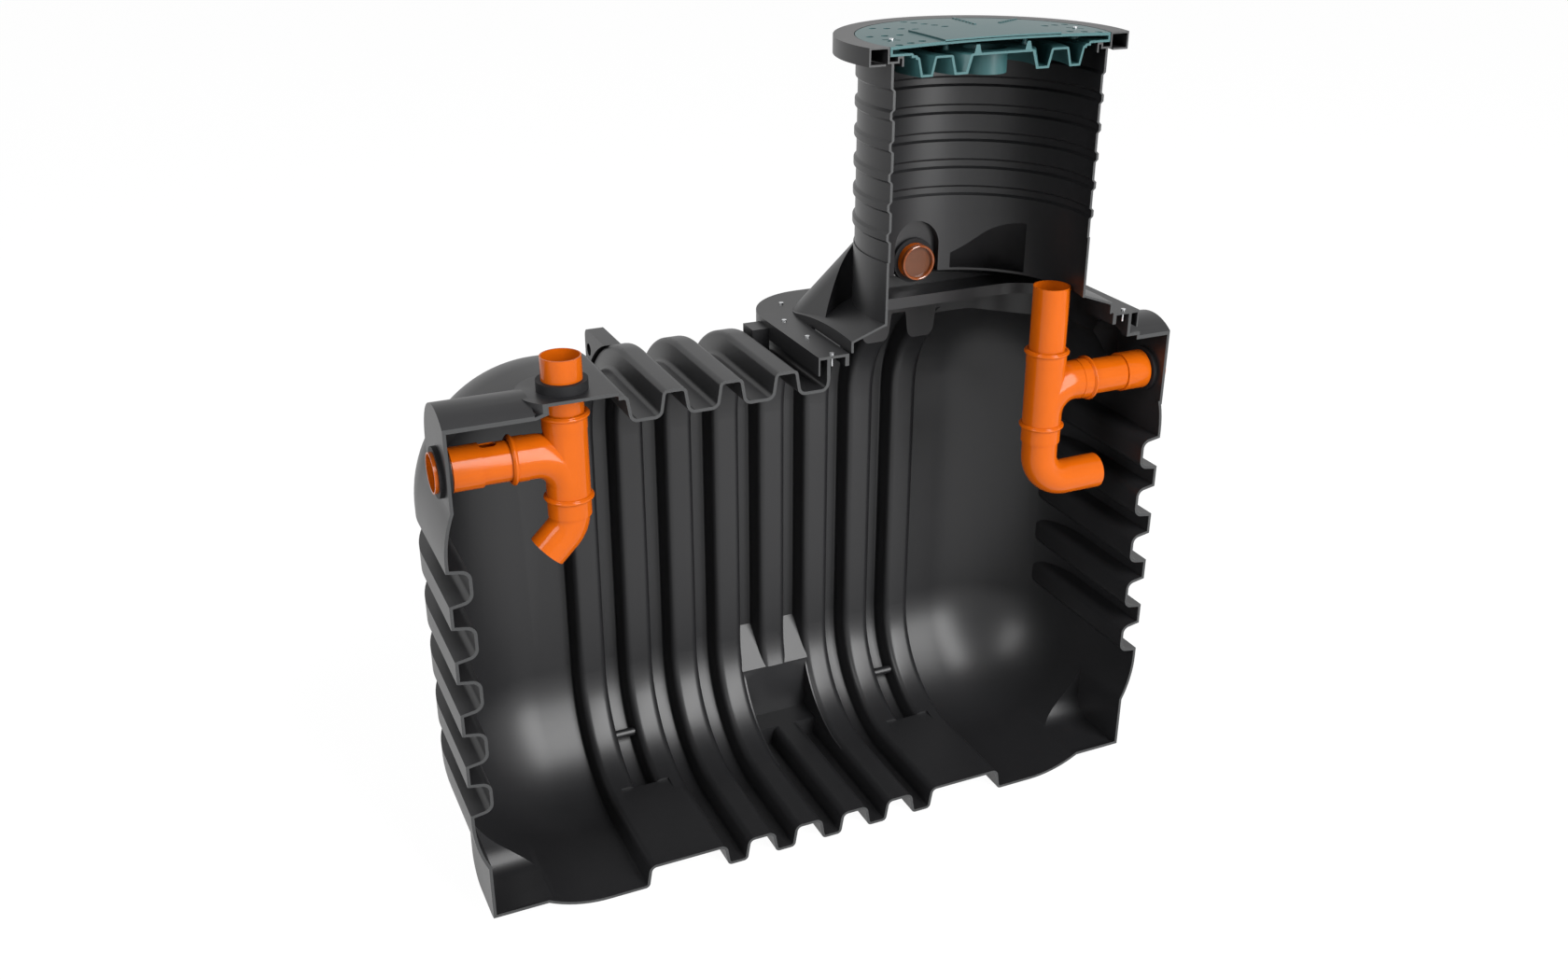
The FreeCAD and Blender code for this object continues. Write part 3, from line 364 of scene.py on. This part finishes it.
panel = bmesh.new()
bmesh.ops.create_grid(panel, x_segments=24, y_segments=14, size=0.5)
for vert in panel.verts:
    x = 2 * vert.co.x * PANEL_HALF
    y = CUT_Y + (vert.co.y + 0.5) * (PANEL_BACK - CUT_Y)
    vert.co = Vector((LID_X + x, y, lid_height(x, y) + PANEL_RISE))
skirt = bmesh.ops.extrude_face_region(panel, geom=panel.faces[:])
for vert in (item for item in skirt["geom"] if isinstance(item, bmesh.types.BMVert)):
    vert.co.z -= PANEL_RISE + PANEL_ROOT
bmesh.ops.recalc_face_normals(panel, faces=panel.faces)
placed("lid_panel", panel, lid_teal, "lid_teal")

ridges = bmesh.new()
for start, end in RIDGES:
    run = Vector(end) - Vector(start)
    turn = math.atan2(run.y, run.x)
    for step in range(RIDGE_GAPS + 1):
        spot = Vector(start) + run * (step / RIDGE_GAPS)
        bmesh.ops.create_cube(ridges, size=1.0, matrix=on_lid(spot.x, spot.y, turn, RIDGE_BLOCK))
bmesh.ops.bevel(ridges, geom=ridges.edges[:], offset=RIDGE_ROUND, segments=2, profile=0.5,
                affect="EDGES", material=-1)
placed("lid_ridges", ridges, lid_teal, "lid_teal")

# Screws. Zinc-plated pan heads with a bright, finely brushed finish. Two hold the lid to the
# cover ring, and a row of them holds the turret's flange to the hull.
screw = Finish("screw_steel", Metallic=1.0)
brush = screw.noise(screw.places(), scale=900.0)
screw_steel = screw.feed(Base_Color=screw.mixed(brush, (0.62, 0.63, 0.65), (0.80, 0.81, 0.82)),
                         Roughness=brush.between(0.20, 0.35))
for node in ("lid_screws", "flange_screws"):
    dressed(node, screw_steel, "screw_steel")

# Vent cap. A clear brown-orange disc with a glossy rounded rim closes the mouth of the vent pipe,
# which is pushed through a rubber seal in the shaft's back.
RIM_PROFILE = (
    (0.0465, -0.001), (0.055, -0.001), (0.055, 0.008), (0.0545, 0.0105), (0.053, 0.0122),
    (0.051, 0.013), (0.049, 0.0122), (0.0475, 0.0105), (0.0465, 0.008),
)


def clear_plastic(name, dark, light, **constants):
    """Smooth see-through plastic, of which mostly the colour shows."""
    plastic = Finish(name, Coat_Roughness=0.05, **constants)
    haze = plastic.noise(plastic.places(), scale=30.0)
    return plastic.feed(Base_Color=plastic.mixed(haze, dark, light), Roughness=haze.between(0.12, 0.22))


vent_cap = clear_plastic("vent_cap", (0.085, 0.030, 0.013), (0.115, 0.040, 0.018),
                         Specular_IOR_Level=0.3, Coat_Weight=0.15)
dressed("vent_cap", vent_cap, "vent_cap")
vent_rim = clear_plastic("vent_rim", (0.20, 0.045, 0.006), (0.25, 0.058, 0.009),
                         Specular_IOR_Level=0.5, Coat_Weight=1.0)
cap_low, cap_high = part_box("vent_cap")
cap_face = Vector(((cap_low.x + cap_high.x) / 2, cap_low.y, (cap_low.z + cap_high.z) / 2))
stand = Matrix.Translation(cap_face) @ FORWARDS
rim = bmesh.new()
corners = [rim.verts.new(stand @ Vector((radius, 0, height))) for radius, height in RIM_PROFILE]
for step, corner in enumerate(corners):
    rim.edges.new((corners[step - 1], corner))
spun(rim, corners, stand)
placed("vent_rim", rim, vent_rim, "vent_cap")

# Studio. A pale floor that keeps the tank's shadow, an even pale surround, and two tall soft
# lamps in front, one each side of the camera, which draw the broad highlights.
FLOOR_HALF = 30.0
FLOOR_Z = -0.002
FLOOR_GLOW = 1.05
FLOOR_GLOW_SHARE = 0.92
GLOSS_SHARE = 0.75
SOFT_LIGHT = 0.24
LAMPS_AIM = Vector((0.0, 0.3, 0.9))


def straight_rays(nodes):
    """1 for rays that the camera or glass sends out, less for gloss, 0 for the soft light."""
    camera_ray = nodes.node("ShaderNodeLightPath", output="Is Camera Ray")
    outputs = camera_ray.socket.node.outputs
    gloss_ray = Value(nodes.tree, outputs["Is Glossy Ray"])
    glass_ray = Value(nodes.tree, outputs["Is Transmission Ray"])
    return camera_ray.or_more(gloss_ray * GLOSS_SHARE).or_more(glass_ray)


shape = bmesh.new()
bmesh.ops.create_grid(shape, x_segments=1, y_segments=1, size=FLOOR_HALF)
floor = formed("floor", shape)
floor.location.z = FLOOR_Z
floor_pale = bpy.data.materials.new("floor_pale")
pale = Nodes(floor_pale)
pale.tree.nodes.remove(pale.tree.nodes["Principled BSDF"])
matt = pale.node("ShaderNodeBsdfDiffuse", Color=(0.90, 0.90, 0.90, 1.0))
glow = pale.node("ShaderNodeEmission", Strength=FLOOR_GLOW)
seen = pale.node("ShaderNodeMixShader", in0=FLOOR_GLOW_SHARE, in1=matt, in2=glow)
ground = pale.node("ShaderNodeMixShader", in0=straight_rays(pale), in1=matt, in2=seen)
ground.fill(pale.tree.nodes["Material Output"].inputs["Surface"])
floor.data.materials.append(floor_pale)

surround = bpy.data.worlds.new("surround")
bpy.context.scene.world = surround
sky = Nodes(surround)
sky.tree.nodes.remove(sky.tree.nodes["Background"])
soft = sky.node("ShaderNodeBackground", Color=(1.0, 1.0, 1.0, 1.0), Strength=SOFT_LIGHT)
white = sky.node("ShaderNodeBackground", Color=(1.0, 1.0, 1.0, 1.0), Strength=1.0)
whole = sky.node("ShaderNodeMixShader", in0=straight_rays(sky), in1=soft, in2=white)
whole.fill(sky.tree.nodes["World Output"].inputs["Surface"])

for name, place, width, height, power in (
    ("lamp_right", (4.6, -12.6, 8.2), 6.4, 17.0, 3700.0),
    ("lamp_left", (-11.3, -4.7, 7.5), 4.5, 8.4, 720.0),
):
    light = bpy.data.lights.new(name, "AREA")
    light.shape = "RECTANGLE"
    light.size = width
    light.size_y = height
    light.energy = power
    lamp = bpy.data.objects.new(name, light)
    bpy.context.scene.collection.objects.link(lamp)
    lamp.location = place
    lamp.rotation_euler = (LAMPS_AIM - Vector(place)).to_track_quat("-Z", "Y").to_euler()

bpy.context.scene.view_settings.view_transform = "Standard"
